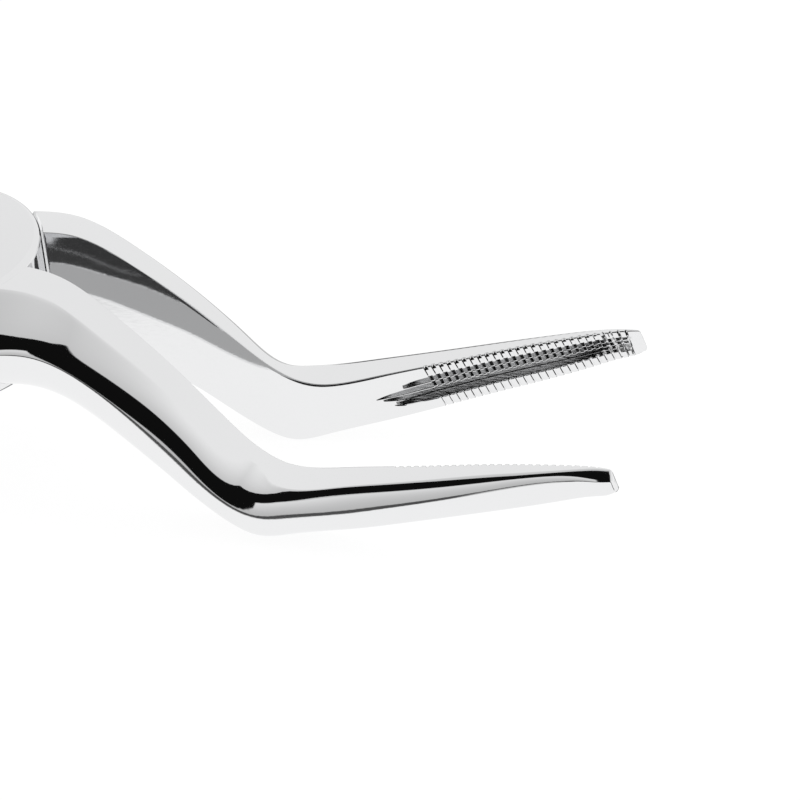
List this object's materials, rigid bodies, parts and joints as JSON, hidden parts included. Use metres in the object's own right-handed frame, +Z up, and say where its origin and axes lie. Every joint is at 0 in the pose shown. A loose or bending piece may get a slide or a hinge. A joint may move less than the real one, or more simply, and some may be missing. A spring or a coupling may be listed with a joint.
{
  "type": "bayonet root extraction forceps",
  "caption": "Polished steel pliers with long bayonet-offset, serrated half-round beaks, bowed handles and a slotted screw joint.",
  "frame": {"origin": "middle of the instrument's outline, on the surface it lies on: the heels of the beaks and the ends of the handles touch z = 0", "axes": "+X runs from the handles to the tips of the beaks, +Y is the way the lower half's beak opens, +Z is up from the surface, towards the screw's head"},
  "size_m": [0.1648, 0.0678, 0.0201],
  "materials": {
    "polished_steel": "mirror polished stainless steel, satin in the grooves",
    "screw_steel": "turned and polished stainless steel"
  },
  "bodies": {
    "fixed_half": {"lower_half": "polished_steel", "joint_screw": "screw_steel"},
    "moving_half": {"upper_half": "polished_steel"}
  },
  "joints": [
    {"name": "pivot", "type": "hinge", "parent": "fixed_half", "child": "moving_half", "pos_m": [0.02623, 0, 0.01445], "axis": [-0.095, 0, 0.9955], "range_deg": [-8, 19.5]}
  ]
}
